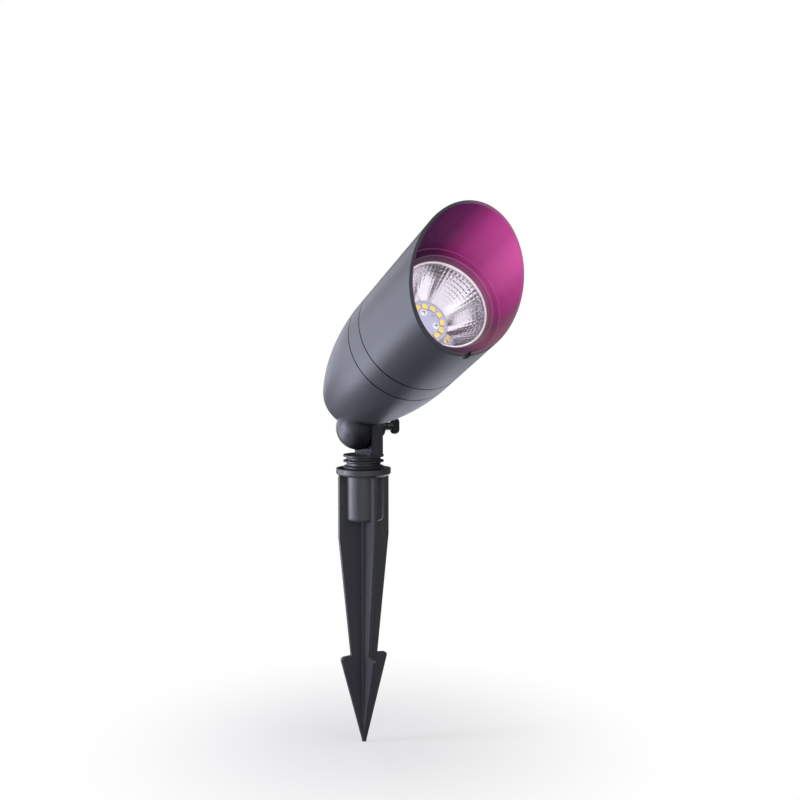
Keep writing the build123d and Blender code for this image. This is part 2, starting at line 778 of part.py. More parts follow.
# ------------------------------------------------------------------ driver
lid_back = seat_back - lid_thickness
case_back = lid_back - driver_length
case_floor = case_back + driver_wall
board_plane = Plane(
    origin=seam_centre + aim * (case_floor + driver_board_gap) - lift * driver_board_drop,
    x_dir=(1, 0, 0),
    z_dir=lift,
)
board_width = driver_width - 2 * driver_wall - 2 * driver_board_gap
board_length = lid_back - case_floor - 2 * driver_board_gap
lead_start = lid_back - part_spacing

with BuildPart() as driver_case:
    with BuildSketch(head_at(case_back)):
        RectangleRounded(driver_width, driver_height, driver_corner)
    extrude(amount=driver_length)
    with BuildSketch(head_at(case_floor)):
        RectangleRounded(
            driver_width - 2 * driver_wall,
            driver_height - 2 * driver_wall,
            driver_corner - driver_wall,
        )
    extrude(amount=driver_length, mode=Mode.SUBTRACT)
driver_case.part.label = "driver_case"
export_step(driver_case.part, "parts/driver_case.step")

with BuildPart() as driver_lid:
    with BuildSketch(head_at(lid_back)):
        Circle(spigot_inner - lid_clearance)
        Rectangle(2 * spigot_inner, driver_height, mode=Mode.INTERSECT)
        with GridLocations(lid_screw_spacing, 0, 2, 1):
            Circle(lid_screw_radius, mode=Mode.SUBTRACT)
        for angle in lead_angles:
            with PolarLocations(board_screw_pitch_radius, 1, start_angle=angle):
                Circle(lead_radius + lead_clearance, mode=Mode.SUBTRACT)
    extrude(amount=lid_thickness)
driver_lid.part.label = "driver_lid"
export_step(driver_lid.part, "parts/driver_lid.step")

with BuildPart() as driver_screws:
    with BuildSketch(head_at(lid_back)):
        with GridLocations(lid_screw_spacing, 0, 2, 1):
            Circle(lid_screw_radius)
    extrude(amount=lid_thickness + lid_screw_depth)
    with BuildSketch(head_at(lid_back)):
        with GridLocations(lid_screw_spacing, 0, 2, 1):
            Circle(lid_screw_head_radius)
    extrude(amount=-lid_screw_head)
driver_screws.part.label = "driver_screws"
export_step(driver_screws.part, "parts/driver_screws.step")

with BuildPart() as driver_board:
    with BuildSketch(board_plane):
        Rectangle(board_width, board_length, align=(Align.CENTER, Align.MAX))
    extrude(amount=-driver_board_thickness)
driver_board.part.label = "driver_board"
export_step(driver_board.part, "parts/driver_board.step")

with BuildPart() as driver_transformer:
    with BuildSketch(board_plane):
        with Locations((-board_width / 2 + part_spacing, -board_length + part_spacing)):
            Rectangle(transformer_size[0], transformer_size[2], align=(Align.MIN, Align.MIN))
    extrude(amount=transformer_size[1])
driver_transformer.part.label = "driver_transformer"
export_step(driver_transformer.part, "parts/driver_transformer.step")

capacitor_plane = Plane(
    origin=board_plane.from_local_coords(
        (board_width / 4, -part_spacing - capacitor_length, capacitor_radius)
    ),
    x_dir=(1, 0, 0),
    z_dir=aim,
)
with BuildPart() as driver_capacitor:
    with BuildSketch(capacitor_plane):
        Circle(capacitor_radius)
    extrude(amount=-capacitor_length)
driver_capacitor.part.label = "driver_capacitor"
export_step(driver_capacitor.part, "parts/driver_capacitor.step")

with BuildPart() as led_leads:
    with BuildSketch(head_at(lead_start)):
        for angle in lead_angles:
            with PolarLocations(board_screw_pitch_radius, 1, start_angle=angle):
                Circle(lead_radius)
    extrude(amount=board_front - lead_start)
led_leads.part.label = "led_leads"
export_step(led_leads.part, "parts/led_leads.step")

with BuildPart() as input_terminal:
    with BuildSketch(head_at(case_back)):
        Rectangle(terminal_size[0], terminal_size[1])
        with GridLocations(terminal_hole_spacing, 0, 2, 1):
            Circle(terminal_hole_radius, mode=Mode.SUBTRACT)
    extrude(amount=-terminal_size[2])
input_terminal.part.label = "input_terminal"
export_step(input_terminal.part, "parts/input_terminal.step")

# ------------------------------------------------------------------ cable inlet in the rear face
recess_floor = rear_face + inlet_recess_depth
flange_seat = recess_floor - inlet_washer_thickness
flange_end = flange_seat - inlet_flange_thickness
neck_tip = flange_end - inlet_neck_length
cap_end = neck_tip - inlet_cap_wall
seal_end = neck_tip
seal_start = seal_end + inlet_seal_length

with BuildPart() as gland_washer:
    with BuildSketch(head_at(flange_seat)):
        Circle(inlet_recess_radius - inlet_seal_clearance)
        Circle(inlet_bore_radius, mode=Mode.SUBTRACT)
    extrude(amount=inlet_washer_thickness)
gland_washer.part.label = "gland_washer"
export_step(gland_washer.part, "parts/gland_washer.step")

with BuildPart() as gland_body:
    with BuildSketch(head_at(flange_end)):
        RegularPolygon(inlet_flat / 2, 6, major_radius=False)
    extrude(amount=inlet_flange_thickness)
    with BuildSketch(head_at(flange_seat)):
        Circle(inlet_bore_radius - inlet_thread_clearance)
    extrude(amount=inlet_washer_thickness + inlet_thread_length)
    with BuildSketch(head_at(neck_tip)):
        Circle(inlet_neck_radius)
    extrude(amount=inlet_neck_length)
    with BuildSketch(head_at(neck_tip)):
        Circle(inlet_seal_radius + inlet_seal_clearance)
    extrude(amount=inlet_seal_length, mode=Mode.SUBTRACT)
    with BuildSketch(head_at(neck_tip)):
        Circle(inlet_mouth_radius)
    extrude(amount=recess_floor + inlet_thread_length - neck_tip, mode=Mode.SUBTRACT)
gland_body.part.label = "gland_body"
export_step(gland_body.part, "parts/gland_body.step")

with BuildPart() as gland_seal:
    with BuildSketch(head_at(seal_end)):
        Circle(inlet_seal_radius)
        Circle(inlet_seal_bore, mode=Mode.SUBTRACT)
    extrude(amount=inlet_seal_length)
gland_seal.part.label = "gland_seal"
export_step(gland_seal.part, "parts/gland_seal.step")

with BuildPart() as gland_nut:
    with BuildSketch(head_at(cap_end)):
        Circle(inlet_cap_radius)
    extrude(amount=inlet_neck_length + inlet_cap_wall)
    chamfer(gland_nut.edges().group_by(head_axis)[0], inlet_cap_edge)
    with BuildSketch(head_at(neck_tip)):
        Circle(inlet_neck_radius + inlet_thread_clearance)
    extrude(amount=inlet_neck_length, mode=Mode.SUBTRACT)
    with BuildSketch(head_at(cap_end)):
        Circle(inlet_mouth_radius)
    extrude(amount=inlet_cap_wall, mode=Mode.SUBTRACT)
gland_nut.part.label = "gland_nut"
export_step(gland_nut.part, "parts/gland_nut.step")
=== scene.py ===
import json
from math import cos, pi, radians, sin

import bmesh
import bpy
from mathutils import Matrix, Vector


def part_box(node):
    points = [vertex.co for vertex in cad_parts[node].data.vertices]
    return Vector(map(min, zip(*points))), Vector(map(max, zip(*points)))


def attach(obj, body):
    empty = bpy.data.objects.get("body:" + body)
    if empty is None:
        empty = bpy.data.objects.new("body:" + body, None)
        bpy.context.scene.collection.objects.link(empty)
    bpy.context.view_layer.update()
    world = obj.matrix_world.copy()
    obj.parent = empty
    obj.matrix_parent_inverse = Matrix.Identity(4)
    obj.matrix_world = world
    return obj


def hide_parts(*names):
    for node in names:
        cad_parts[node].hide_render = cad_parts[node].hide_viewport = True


MM = 0.001

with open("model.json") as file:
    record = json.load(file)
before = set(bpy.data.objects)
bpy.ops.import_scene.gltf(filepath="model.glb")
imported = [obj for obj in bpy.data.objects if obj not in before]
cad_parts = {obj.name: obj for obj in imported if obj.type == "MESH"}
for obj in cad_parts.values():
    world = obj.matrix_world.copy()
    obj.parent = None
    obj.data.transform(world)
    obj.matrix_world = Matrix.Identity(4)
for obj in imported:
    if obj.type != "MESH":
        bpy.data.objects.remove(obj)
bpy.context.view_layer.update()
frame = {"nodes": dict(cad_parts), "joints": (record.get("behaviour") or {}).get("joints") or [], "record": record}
nodes = frame["nodes"]
scene = bpy.context.scene


# ---------------------------------------------------------------- places read from the frame
def centre(node):
    """The middle of a CAD node's box."""
    low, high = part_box(node)
    return (low + high) / 2


BOARD_THICKNESS = 1.0 * MM

across = Vector((1, 0, 0))
aim = (centre("front_glass") - centre("led_board")).normalized()
lift = aim.cross(across)
board_top = centre("led_board") + aim * BOARD_THICKNESS / 2
hinge = Vector(next(j["pos_m"] for j in frame["joints"] if j["name"] == "head_tilt"))
ground = min(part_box(node)[0].z for node in nodes)


def on_head(x, up, forward):
    """A point from the middle of the lamp board's front: right, up and forward along the head."""
    return board_top + across * x + lift * up + aim * forward


# ---------------------------------------------------------------- building meshes
def new_piece(name, mesh_data, body, materials):
    """Links a finished bmesh as an object that rides on a CAD body."""
    mesh = bpy.data.meshes.new(name)
    bmesh.ops.recalc_face_normals(mesh_data, faces=mesh_data.faces)
    mesh_data.to_mesh(mesh)
    mesh_data.free()
    piece = bpy.data.objects.new(name, mesh)
    scene.collection.objects.link(piece)
    for material in materials:
        mesh.materials.append(material)
    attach(piece, body)
    return piece


def ring_grid(mesh_data, rings):
    """Rows of vertices for closed rings of points, and the faces between successive rings."""
    rows = [[mesh_data.verts.new(point) for point in ring] for ring in rings]
    faces = []
    for lower, upper in zip(rows, rows[1:]):
        count = len(lower)
        for i in range(count):
            j = (i + 1) % count
            faces.append(mesh_data.faces.new((lower[i], lower[j], upper[j], upper[i])))
    return rows, faces


def capped_stack(mesh_data, rings):
    """A stack of rings that is closed at both ends; returns the faces of its sides."""
    rows, faces = ring_grid(mesh_data, rings)
    mesh_data.faces.new(rows[-1])
    mesh_data.faces.new(list(reversed(rows[0])))
    return faces


# ---------------------------------------------------------------- node helpers for materials
BLACK = (0.0, 0.0, 0.0)
NOISE_ROUGHNESS = 0.55
BEVEL_SAMPLES = 4
SMOOTH_AT = 0.3  # levels of a pattern at which a surface is smoothest and roughest
ROUGH_AT = 0.7


def with_alpha(colour):
    """A colour made opaque, or a socket as it is."""
    return (*colour, 1.0) if isinstance(colour, tuple) else colour


def shades(colour, spread):
    """A darker and a lighter shade of a colour."""
    dark = tuple(c * (1 - spread) for c in colour)
    light = tuple(min(1.0, c * (1 + spread)) for c in colour)
    return dark, light


class Nodes:
    """A material's node tree, with short calls for the nodes that are used most."""

    def __init__(self, name):
        self.material = bpy.data.materials.new(name)
        self.material.use_nodes = True
        self.tree = self.material.node_tree
        self.shader = self.tree.nodes["Principled BSDF"]
        self.output = self.tree.nodes["Material Output"]
        self.object_coords = self.add("ShaderNodeTexCoord").outputs["Object"]

    def add(self, kind, **settings):
        """A new node with the given settings."""
        node = self.tree.nodes.new(kind)
        for key, value in settings.items():
            setattr(node, key, value)
        return node

    def join(self, source, target):
        """Links an output to an input."""
        self.tree.links.new(source, target)

    def put(self, value, target):
        """Joins a socket, or sets a constant."""
        if isinstance(value, bpy.types.NodeSocket):
            self.join(value, target)
        else:
            target.default_value = value

    def set(self, **values):
        """Gives inputs of the main shader, with _ for the spaces in their names."""
        for key, value in values.items():
            self.put(value, self.shader.inputs[key.replace("_", " ")])

    def math(self, operation, first, second=0.0, third=None):
        """One step of arithmetic on numbers."""
        node = self.add("ShaderNodeMath", operation=operation)
        self.put(first, node.inputs[0])
        self.put(second, node.inputs[1])
        if third is not None:
            self.put(third, node.inputs[2])
        return node.outputs[0]

    def times(self, first, second):
        """The product; of two masks, it is the part where both hold."""
        return self.math("MULTIPLY", first, second)

    def apart(self, first, second):
        """How far two values are apart."""
        return self.math("ABSOLUTE", self.math("SUBTRACT", first, second))

    def length(self, first, second):
        """Length of two parts that stand at right angles."""
        squares = self.math("ADD", self.math("POWER", first, 2.0), self.math("POWER", second, 2.0))
        return self.math("SQRT", squares)

    def vector(self, operation, first, second=None):
        """One step of arithmetic on vectors."""
        node = self.add("ShaderNodeVectorMath", operation=operation)
        self.put(first, node.inputs[0])
        if second is not None:
            self.put(second, node.inputs[1])
        scalar = operation in ("DOT_PRODUCT", "LENGTH")
        return node.outputs["Value" if scalar else "Vector"]

    def split(self, vector):
        """The three parts of a vector."""
        node = self.add("ShaderNodeSeparateXYZ")
        self.join(vector, node.inputs[0])
        return node.outputs["X"], node.outputs["Y"], node.outputs["Z"]

    def noise(self, scale, detail=3.0, coords=None):
        """Soft random pattern, in the object's own coordinates where none are given."""
        node = self.add("ShaderNodeTexNoise")
        self.join(coords or self.object_coords, node.inputs["Vector"])
        node.inputs["Scale"].default_value = scale
        node.inputs["Detail"].default_value = detail
        node.inputs["Roughness"].default_value = NOISE_ROUGHNESS
        return node.outputs["Fac"]

    def stretched(self, stretch):
        """The object's coordinates scaled along each axis, for patterns with a direction."""
        node = self.add("ShaderNodeMapping")
        self.join(self.object_coords, node.inputs["Vector"])
        node.inputs["Scale"].default_value = stretch
        return node.outputs["Vector"]

    def ramp(self, value, stops):
        """A colour that runs through the stops, each a place and a colour."""
        node = self.add("ShaderNodeValToRGB")
        self.join(value, node.inputs["Fac"])
        elements = node.color_ramp.elements
        while len(elements) < len(stops):
            elements.new(0.5)  # its true place is set below
        for element, (place, colour) in zip(elements, stops):
            element.position = place
            element.color = with_alpha(colour)
        return node.outputs["Color"]

    def grey_ramp(self, value, stops):
        """A level that runs through the stops, each a place and a level."""
        return self.ramp(value, [(place, (level,) * 3) for place, level in stops])

    def roughen(self, pattern, smooth, rough):
        """Lets the roughness follow a pattern, between two levels."""
        self.set(Roughness=self.grey_ramp(pattern, [(SMOOTH_AT, smooth), (ROUGH_AT, rough)]))

    def mix(self, share, first, second):
        """The first colour where the share is 0, the second where it is 1."""
        node = self.add("ShaderNodeMix", data_type="RGBA", clamp_factor=False)
        self.put(share, node.inputs["Factor"])
        self.put(with_alpha(first), node.inputs["A"])
        self.put(with_alpha(second), node.inputs["B"])
        return node.outputs["Result"]

    def varied(self, colour, spread, scale):
        """A colour that drifts a little lighter and darker over the surface."""
        return self.mix(self.noise(scale, detail=4.0), *shades(colour, spread))

    def fade(self, value, low, high, start=0.0, end=1.0):
        """A smooth step from start to end as the value goes from low to high."""
        node = self.add("ShaderNodeMapRange", interpolation_type="SMOOTHSTEP")
        self.join(value, node.inputs["Value"])
        for key, level in zip(("From Min", "From Max", "To Min", "To Max"), (low, high, start, end)):
            node.inputs[key].default_value = level
        return node.outputs["Result"]

    def bump(self, height, distance, strength=1.0, edge_radius=None):
        """Relief from a height, on edges that look rounded where a radius is given."""
        node = self.add("ShaderNodeBump")
        self.join(height, node.inputs["Height"])
        node.inputs["Distance"].default_value = distance
        node.inputs["Strength"].default_value = strength
        if edge_radius:
            bevel = self.add("ShaderNodeBevel", samples=BEVEL_SAMPLES)
            bevel.inputs["Radius"].default_value = edge_radius
            self.join(bevel.outputs["Normal"], node.inputs["Normal"])
        self.join(node.outputs["Normal"], self.shader.inputs["Normal"])

    def head_coords(self):
        """Right, up, forward and radius about the head's axis, from the lamp board's front."""
        offset = self.vector("SUBTRACT", self.object_coords, tuple(board_top))
        right, up, forward = (
            self.vector("DOT_PRODUCT", offset, tuple(axis)) for axis in (across, lift, aim)
        )
        return right, up, forward, self.length(right, up)


# ---------------------------------------------------------------- powder coat of the castings
# Where a value is a pair of places, a fade begins at the first and is complete at the second.
COAT = (0.052, 0.053, 0.060)
# painted shade: a darker copy of the coat for the stem bracket, which lies in the head's shade
SHADED_STEM_COAT = (0.030, 0.030, 0.034)
# painted shade: the near-black colour put in the seams and in the knuckle's gap
PAINTED_SHADE_COLOUR = (0.004, 0.004, 0.005)
COAT_RELIEF = 0.015 * MM
COAT_EDGE = 0.2 * MM

BOARD_REACH = 12.3 * MM  # from the front seam to the lamp board's front
BAND_LENGTH = 13.0 * MM
# the two seams, where shade is painted in a narrow band
SEAMS = (-BOARD_REACH, -BOARD_REACH - BAND_LENGTH)
SEAM_HALF_WIDTH = 0.40 * MM
SEAM_SOFTNESS = 0.12 * MM

# painted shade at the knuckle: a dark zigzag in the toothed gap, and a shaded patch on the ball beside the lug
TEETH = 32
TEETH_PLANE = -0.45 * MM  # X of the middle of the knuckle's toothed gap
TEETH_REACH = 11.6 * MM
TOOTH_SWING = 0.2 * MM  # how far the gap's zigzag goes to each side of that plane
GAP_DARK_TO = 0.40 * MM  # from the zigzag: painted shade up to here
GAP_CLEAR_FROM = 0.62 * MM  # and plain coat from here
KNUCKLE_SHADE_BEGINS = (-11 * MM, -7 * MM)  # along X, where the painted shade sets in on the ball
KNUCKLE_SHADE_ENDS = (1 * MM, 0 * MM)  # and where it stops at the lug
KNUCKLE_SHADE_REACH = (20 * MM, 12 * MM)  # about the hinge, from outside inwards
KNUCKLE_SHADE_STRENGTH = 0.62


def coat_surface(m):
    """Powder coat's relief and sheen: fine orange peel and softly rounded edges."""
    grain = m.noise(scale=2600.0, detail=2.0)
    peel = m.noise(scale=700.0, detail=2.0)
    height = m.math("ADD", m.times(grain, 0.6), peel)
    m.roughen(m.noise(scale=1500.0), smooth=0.38, rough=0.46)
    m.set(Specular_IOR_Level=0.6, Specular_Tint=(0.85, 0.87, 1.0, 1.0))
    m.bump(height, distance=COAT_RELIEF, strength=0.35, edge_radius=COAT_EDGE)


def clear_of_seams(m, forward):
    """0 in the seams between the shells, where shade is painted, 1 elsewhere."""
    clear = 1.0
    for seam in SEAMS:
        off_seam = m.apart(forward, seam)
        beside = m.fade(
            off_seam, SEAM_HALF_WIDTH - SEAM_SOFTNESS, SEAM_HALF_WIDTH + SEAM_SOFTNESS
        )
        clear = m.times(beside, clear)
    return clear


def clear_of_knuckle(m):
    """Painted shade: 0 in the zigzag gap between the knuckle's toothed faces, lower on the ball beside them, 1
    elsewhere.
    """
    x, y, z = m.split(m.vector("SUBTRACT", m.object_coords, tuple(hinge)))
    reach = m.length(y, z)
    turn = m.math("ARCTAN2", z, y)
    zigzag = m.times(m.math("SINE", m.times(turn, TEETH)), TOOTH_SWING)
    off_gap = m.apart(m.math("SUBTRACT", x, TEETH_PLANE), zigzag)
    beside = m.fade(off_gap, GAP_DARK_TO, GAP_CLEAR_FROM)
    open_gap = m.math("MAXIMUM", beside, m.math("GREATER_THAN", reach, TEETH_REACH))
    # painted shade on the ball beside the lug, where the head's shadow falls
    painted_ball_shade = m.times(m.fade(x, *KNUCKLE_SHADE_BEGINS), m.fade(x, *KNUCKLE_SHADE_ENDS))
    painted_ball_shade = m.times(painted_ball_shade, m.fade(reach, *KNUCKLE_SHADE_REACH, 0.0, KNUCKLE_SHADE_STRENGTH))
    return m.times(open_gap, m.math("SUBTRACT", 1.0, painted_ball_shade))


def powder_coat(name, coat_colour=COAT, inside_glow=False):
    """Satin powder coat, faintly mottled, with shade painted in the seams, in the knuckle's gap and on the ball
    beside it.

    The painted shade turns into black metal, so that no sheen lightens it.
    """
    m = Nodes(name)
    coat_surface(m)
    place = m.head_coords()
    _, _, forward, _ = place
    colour = m.varied(coat_colour, spread=0.06, scale=90.0)
    clear = clear_of_seams(m, forward)
    clear = m.times(clear_of_knuckle(m), clear)
    # painted shade mixed into the coat's colour
    colour = m.mix(clear, PAINTED_SHADE_COLOUR, colour)
    metal = m.math("SUBTRACT", 1.0, clear)
    if inside_glow:
        colour, metal = hood_inside(m, place, colour, metal)
    m.set(Base_Color=colour, Metallic=metal)
    return m.material


# ---------------------------------------------------------------- painted coloured light inside the hood
BARREL_BORE = 27.7 * MM  # a little over the barrel's inner radius
BARREL_SKIN = 28.75 * MM  # a little under its outer radius; the rim's cut face lies between
SHOULDER_AHEAD = 20.5 * MM  # the barrel's inner shoulder starts here, ahead of the board
RIM_AHEAD = 55.0 * MM  # the painted light is at its full strength from here to the rim's tip
NOTCH_MIDDLE = 1.5 * MM
NOTCH_HALF_WIDTH = 1.8 * MM
LEDGE_RADIUS = 26.6 * MM
LEDGE_INNER_RADIUS = 23.3 * MM
LEDGE_MARGIN = 0.1 * MM  # the notch's dark mask keeps this far off the ledge
LEDGE_DEPTH = 1.2 * MM
# painted shade on the ledge and painted highlights along its two edges
LEDGE_SHADE = 0.25
EDGE_LINE = (0.1 * MM, 0.3 * MM)  # the painted highlights on the ledge's edges fade out over this distance
EDGE_LINE_SHARE = 0.32
EDGE_LINE_BLEND = 0.5
EDGE_LINE_COLOUR = (0.50, 0.28, 0.42)
# painted light and shade in the bore's colour: magenta and partly metal on its lit side, dark on the other
BORE_LIT_SIDE = (-4 * MM, 12 * MM)  # from left to right
BORE_SHELTERED = (0.030, 0.014, 0.028)
BORE_LIT = (0.11, 0.014, 0.070)
BORE_METAL = 0.6
# painted light and shade on the rim's cut face: mauve towards its right, darker towards its left
RIM_MAUVE_SIDE = (-12 * MM, 8 * MM)
RIM_MAUVE = (0.16, 0.085, 0.120)
RIM_BLEND = 0.45
RIM_DARK_SIDE = (4 * MM, -12 * MM)  # from right to left
RIM_SHADE = 0.85
# strengths of the painted glow in the hood and on the keeper ring
HOOD_GLOW = 1.0
KEEPER_GLOW = 0.6

GLOW_TURN = radians(20.0)  # the painted coloured light is strongest this far above the +X side
GLOW_ROUND = [  # from the opposite side round to where the painted light is strongest
    (0.10, (0.060, 0.022, 0.055)),
    (0.41, (0.024, 0.004, 0.021)),
    (0.71, (0.080, 0.008, 0.058)),
    (0.82, (0.200, 0.018, 0.110)),
    (0.88, (0.310, 0.030, 0.170)),
    (0.97, (0.400, 0.048, 0.220)),
    (1.00, (0.540, 0.075, 0.300)),
]
GLOW_LOW = (-4 * MM, -19 * MM)  # from the head's axis down
GLOW_LOW_SHARE = 0.75
GLOW_LOW_COLOUR = (0.060, 0.034, 0.050)
GLOW_RIGHT = (2 * MM, 16 * MM)  # and from there to the right
GLOW_RIGHT_COLOUR = (0.26, 0.10, 0.145)
GLOW_AT_SHOULDER = 0.75
GLOW_AT_RIM = 1.15


def glow_light(m, place, strength):
    """Coloured light painted inside the hood as a glow: strong on the +X side, fading round to the other."""
    right, up, forward, radius = place
    towards = m.math("ADD", m.times(right, cos(GLOW_TURN)), m.times(up, sin(GLOW_TURN)))
    facing = m.math("MULTIPLY_ADD", m.math("DIVIDE", towards, radius), 0.5, 0.5)
    glow = m.ramp(facing, GLOW_ROUND)
    low = m.fade(up, *GLOW_LOW, 0.0, GLOW_LOW_SHARE)
    low_right = m.times(low, m.fade(right, *GLOW_RIGHT))
    glow = m.mix(low, glow, GLOW_LOW_COLOUR)
    glow = m.mix(low_right, glow, GLOW_RIGHT_COLOUR)
    deep, shallow = GLOW_AT_SHOULDER * strength, GLOW_AT_RIM * strength
    depth = m.fade(forward, SHOULDER_AHEAD, RIM_AHEAD, deep, shallow)
    return m.mix(depth, BLACK, glow)


def clear_of_notch(m, place):
    """0 at the drain notch in the rim's lowest part, 1 elsewhere and on the ledge."""
    right, up, _, radius = place
    off_notch = m.math("GREATER_THAN", m.apart(right, NOTCH_MIDDLE), NOTCH_HALF_WIDTH)
    clear = m.math("MAXIMUM", off_notch, m.math("GREATER_THAN", up, 0.0))
    on_ledge = m.math("LESS_THAN", radius, LEDGE_RADIUS + LEDGE_MARGIN)
    return m.math("MAXIMUM", clear, on_ledge)


def ledge_glow(m, place, glow):
    """Paints shade on the ledge round the glass by dimming the glow, and draws its two edges as paler lines of
    painted highlight.
    """
    _, _, forward, radius = place
    ledge = m.math("LESS_THAN", radius, LEDGE_RADIUS)
    ledge_zone = m.math("LESS_THAN", forward, SHOULDER_AHEAD + LEDGE_DEPTH)
    glow = m.mix(m.times(ledge, LEDGE_SHADE), glow, BLACK)
    for edge in (LEDGE_INNER_RADIUS, LEDGE_RADIUS):
        off_edge = m.apart(radius, edge)
        near = m.times(m.fade(off_edge, *EDGE_LINE, EDGE_LINE_SHARE, 0.0), ledge_zone)
        glow = m.mix(near, glow, m.mix(EDGE_LINE_BLEND, glow, EDGE_LINE_COLOUR))
    return glow


def rim_glow(m, right, rim_face, glow):
    """Paints the glow on the rim's cut face mauve on its right and paints shade over its left."""
    mauve = m.mix(RIM_BLEND, glow, RIM_MAUVE)
    glow = m.mix(m.times(rim_face, m.fade(right, *RIM_MAUVE_SIDE)), glow, mauve)
    rim_dark = m.times(rim_face, m.fade(right, *RIM_DARK_SIDE, 0.0, RIM_SHADE))
    return m.mix(rim_dark, glow, BLACK)


def hood_inside(m, place, colour, metal):
    """Paints coloured light on the hood's bore and rim as a glow, and paints light and shade into the bore's
    colour.
    """
    right, _, forward, radius = place
    ahead = m.math("GREATER_THAN", forward, SHOULDER_AHEAD)
    bore = m.times(ahead, m.math("LESS_THAN", radius, BARREL_BORE))
    inside = m.times(ahead, m.math("LESS_THAN", radius, BARREL_SKIN))
    rim_face = m.math("SUBTRACT", inside, bore)
    clear = clear_of_notch(m, place)
    inside = m.times(inside, clear)
    bore = m.times(bore, clear)
    # painted light and shade: the bore's colour runs from dark to magenta towards its lit side
    lit_side = m.fade(right, *BORE_LIT_SIDE)
    colour = m.mix(bore, colour, m.mix(lit_side, BORE_SHELTERED, BORE_LIT))
    metal = m.math("MAXIMUM", metal, m.times(bore, BORE_METAL))
    glow = ledge_glow(m, place, glow_light(m, place, HOOD_GLOW))
    glow = rim_glow(m, right, rim_face, glow)
    # painted light: the coloured glow is put on the bore and the rim's face as emission
    m.set(Emission_Color=m.mix(inside, BLACK, glow), Emission_Strength=1.0)
    return colour, metal


def keeper_surface():
    """The black ring round the reflector's lip, with some of the hood's coloured light painted on it as a glow."""
    m = Nodes("keeper_surface")
    place = m.head_coords()
    m.set(Base_Color=m.varied((0.035, 0.033, 0.036), spread=0.1, scale=400.0))
    m.set(Emission_Color=glow_light(m, place, KEEPER_GLOW), Emission_Strength=1.0)
    m.roughen(m.noise(scale=1500.0), smooth=0.30, rough=0.42)
    m.bump(m.noise(scale=1800.0), distance=0.02 * MM, strength=0.5)
    return m.material


# ---------------------------------------------------------------- the other materials
def moulded_plastic(name, colour, roughness, edge_radius=0.25 * MM):
    """Moulded plastic: faint flow marks, a fine grain and softened edges."""
    m = Nodes(name)
    marks = m.noise(scale=140.0, detail=4.0, coords=m.stretched((1.0, 1.0, 0.15)))
    m.set(Base_Color=m.mix(marks, *shades(colour, spread=0.15)))
    m.roughen(marks, smooth=roughness - 0.05, rough=roughness + 0.06)
    m.bump(m.noise(scale=1800.0), distance=0.02 * MM, strength=0.5, edge_radius=edge_radius)
    return m.material


def turned_metal(name, colour, roughness, metallic=1.0, painted_glow=0.0):
    """Metal with a fine brushed streak, and a painted glow of its own colour where one is asked for."""
    m = Nodes(name)
    lines = m.noise(scale=2500.0, coords=m.stretched((0.05, 1.0, 1.0)))
    m.set(Base_Color=m.varied(colour, spread=0.05, scale=300.0), Metallic=metallic)
    m.roughen(lines, smooth=roughness, rough=roughness + 0.12)
    m.bump(lines, distance=0.005 * MM, strength=0.4)
    if painted_glow:
        m.set(Emission_Color=m.varied(colour, spread=0.05, scale=300.0), Emission_Strength=painted_glow)
    return m.material


def mirror_coat(name, colour, roughness, painted_glow=0.0):
    """Bright metal coat with a faint haze, and a painted glow of its own colour where one is asked for."""
    m = Nodes(name)
    haze = m.noise(scale=500.0)
    m.set(Base_Color=m.varied(colour, spread=0.03, scale=200.0), Metallic=1.0)
    m.roughen(haze, smooth=roughness, rough=roughness + 0.05)
    m.bump(m.noise(scale=3000.0, detail=2.0), distance=0.002 * MM, strength=0.3)
    if painted_glow:
        m.set(Emission_Color=m.varied(colour, spread=0.05, scale=250.0), Emission_Strength=painted_glow)
    return m.material


def soft_rubber(name, colour):
    """Dull rubber with a fine uneven skin."""
    m = Nodes(name)
    m.set(Base_Color=m.varied(colour, spread=0.15, scale=400.0))
    m.roughen(m.noise(scale=900.0), smooth=0.68, rough=0.82)
    m.bump(m.noise(scale=2200.0, detail=4.0), distance=0.02 * MM, strength=0.6)
    return m.material


def clear_glass():
    """Thin clear cover: mostly see-through, with a polished surface and a trace of dust."""
    m = Nodes("clear_glass")
    dust = m.noise(scale=1200.0, detail=5.0)
    m.set(Base_Color=(0.95, 0.97, 0.98, 1.0), IOR=1.5)
    m.set(Roughness=m.grey_ramp(dust, [(0.35, 0.02), (0.75, 0.08)]))
    m.set(Alpha=m.grey_ramp(dust, [(0.4, 0.05), (0.8, 0.09)]))
    return m.material


def board_lacquer(name, colour, painted_glow=0.0):
    """Lacquered board or chip body, with a painted glow of its own colour where one is asked for."""
    m = Nodes(name)
    m.set(Base_Color=m.varied(colour, spread=0.04, scale=500.0))
    m.roughen(m.noise(scale=1400.0), smooth=0.34, rough=0.46)
    m.bump(m.noise(scale=2600.0, detail=2.0), distance=0.008 * MM, strength=0.4)
    if painted_glow:
        m.set(Emission_Color=m.varied(colour, spread=0.08, scale=350.0), Emission_Strength=painted_glow)
    return m.material


def phosphor():
    """Yellow phosphor gel with a faint light of its own."""
    m = Nodes("phosphor")
    grains = m.noise(scale=3500.0)
    colour = m.mix(grains, (0.90, 0.66, 0.14), (0.97, 0.84, 0.27))
    m.set(Base_Color=colour, Emission_Color=colour, Emission_Strength=0.55)
    m.roughen(grains, smooth=0.25, rough=0.4)
    m.bump(grains, distance=0.02 * MM, strength=0.5)
    return m.material


coat = powder_coat("powder_coat")
hood_coat = powder_coat("hood_coat", inside_glow=True)
